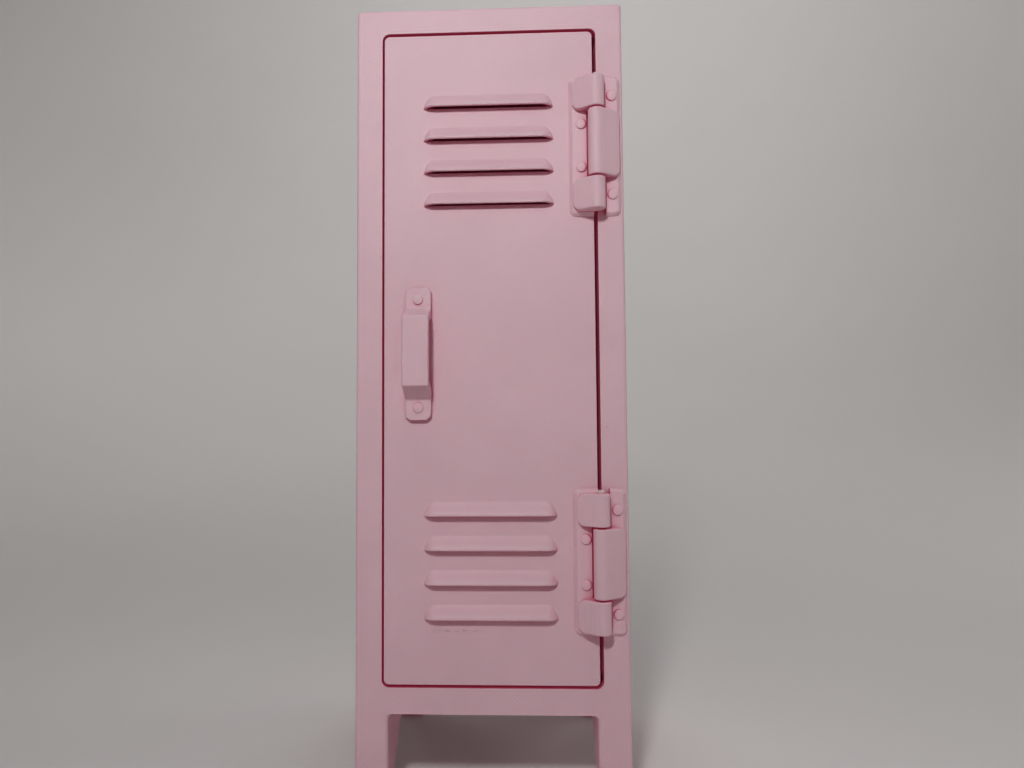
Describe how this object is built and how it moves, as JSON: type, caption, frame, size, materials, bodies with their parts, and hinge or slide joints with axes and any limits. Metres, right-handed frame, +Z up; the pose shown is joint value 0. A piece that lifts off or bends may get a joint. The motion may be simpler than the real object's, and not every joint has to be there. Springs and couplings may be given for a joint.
{
  "type": "locker cabinet",
  "caption": "Small free-standing locker cabinet on short legs with a hinged louvred door, strap handle, shelf and magnetic catch.",
  "frame": {"origin": "middle of the footprint box (handle to back), at the height the feet stand on", "axes": "+X to the right seen from the front, +Y towards the back, +Z up; the door faces -Y"},
  "size_m": [0.038, 0.0416, 0.1127],
  "materials": {
    "cabinet_plastic": "matte, fine print lines",
    "door_plastic": "matte, fine diagonal print lines",
    "hinge_plastic": "matte, visible layer steps",
    "pin": "plain",
    "magnet": "plated"
  },
  "bodies": {
    "cabinet": {"face_frame": "cabinet_plastic", "left_wall": "cabinet_plastic", "right_wall": "cabinet_plastic", "back_panel": "cabinet_plastic", "top_panel": "cabinet_plastic", "floor_panel": "cabinet_plastic", "front_left_leg": "cabinet_plastic", "front_right_leg": "cabinet_plastic", "rear_left_leg": "cabinet_plastic", "rear_right_leg": "cabinet_plastic", "shelf": "cabinet_plastic", "shelf_ledges": "cabinet_plastic", "door_stop": "cabinet_plastic", "frame_magnet": "magnet", "upper_frame_leaf": "hinge_plastic", "lower_frame_leaf": "hinge_plastic", "frame_leaf_rivets": "hinge_plastic"},
    "door": {"door_panel": "door_plastic", "door_magnet": "magnet", "handle": "door_plastic", "handle_rivets": "door_plastic", "upper_door_leaf": "hinge_plastic", "lower_door_leaf": "hinge_plastic", "door_leaf_rivets": "hinge_plastic", "upper_hinge_pin": "pin", "lower_hinge_pin": "pin"}
  },
  "joints": [
    {"name": "door_hinge", "type": "hinge", "parent": "cabinet", "child": "door", "pos_m": [0.01512, -0.01887, 0.06285], "axis": [0, 0, 1], "range_deg": [0, 165]}
  ]
}
